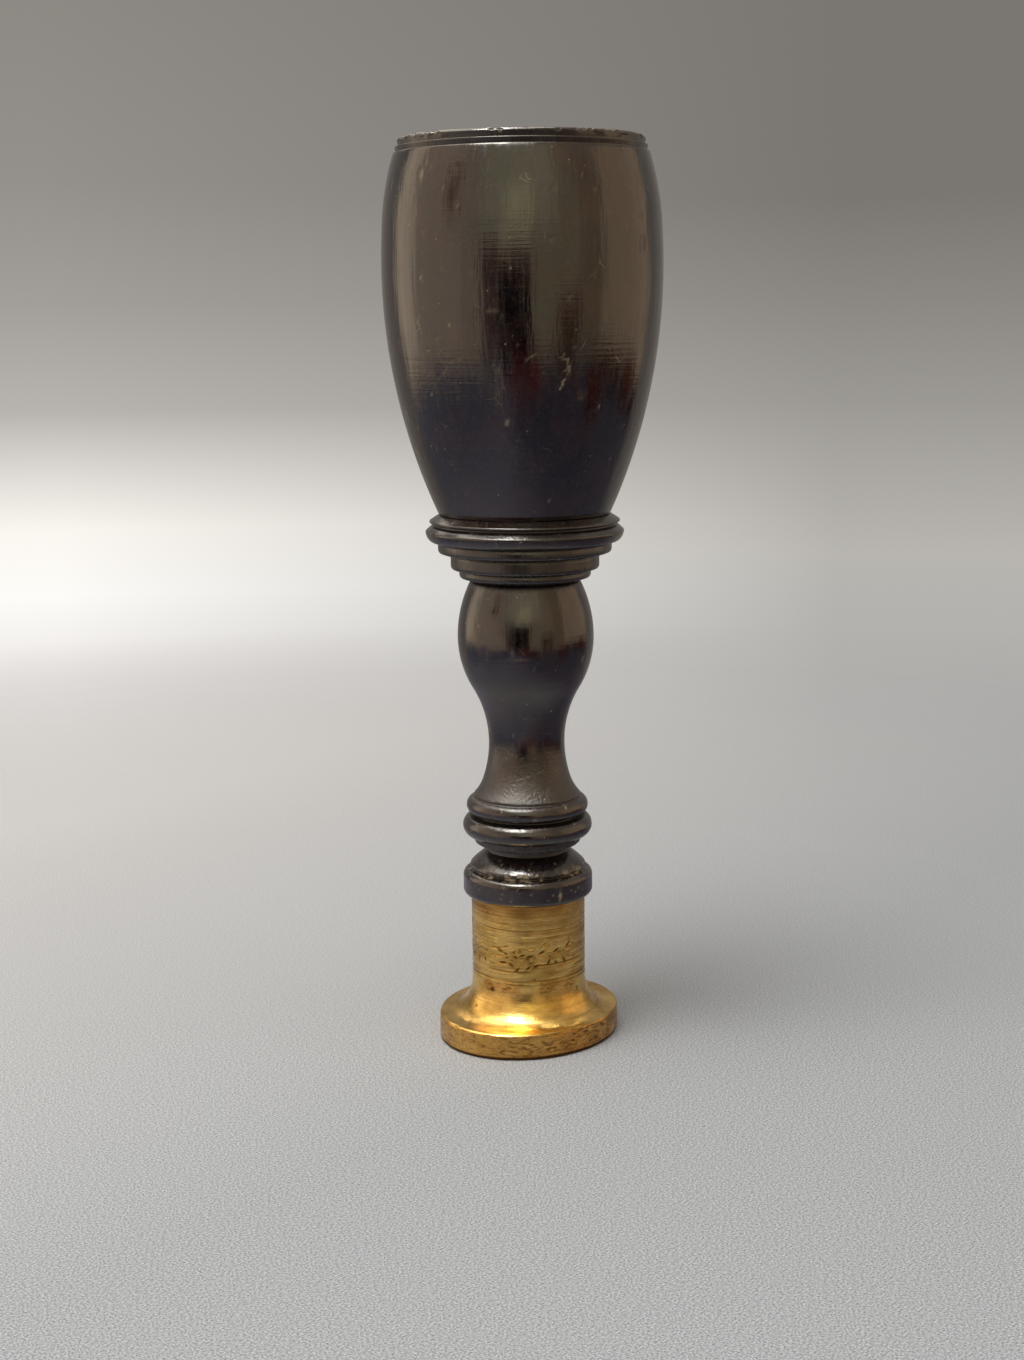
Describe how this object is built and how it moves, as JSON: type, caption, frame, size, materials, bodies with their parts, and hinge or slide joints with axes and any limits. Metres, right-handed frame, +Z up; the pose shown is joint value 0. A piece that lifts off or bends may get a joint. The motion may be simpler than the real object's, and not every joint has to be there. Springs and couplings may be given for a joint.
{
  "type": "wax seal stamp",
  "caption": "Desk seal with a turned black wooden handle, a barrel grip over ringed baluster turnings, screwed onto a brass matrix with an oval face for pressing wax.",
  "frame": {"origin": "centre of the seal face, on the axis of the turning, where the stamp stands on a table", "axes": "+Z up the handle, +X along the long axis of the oval face"},
  "size_m": [0.0293, 0.0292, 0.0965],
  "materials": {
    "ebonised_wood": "hardwood stained black and polished, worn pale at the edges",
    "seal_brass": "aged turned brass with tool lines and brown patina"
  },
  "bodies": {
    "matrix": {"matrix": "seal_brass"},
    "handle": {"stem": "ebonised_wood", "head": "ebonised_wood"}
  },
  "joints": [
    {"name": "handle_lift", "type": "slide", "parent": "matrix", "child": "handle", "axis": [0, 0, 1], "range_m": [0, 0.014]}
  ]
}
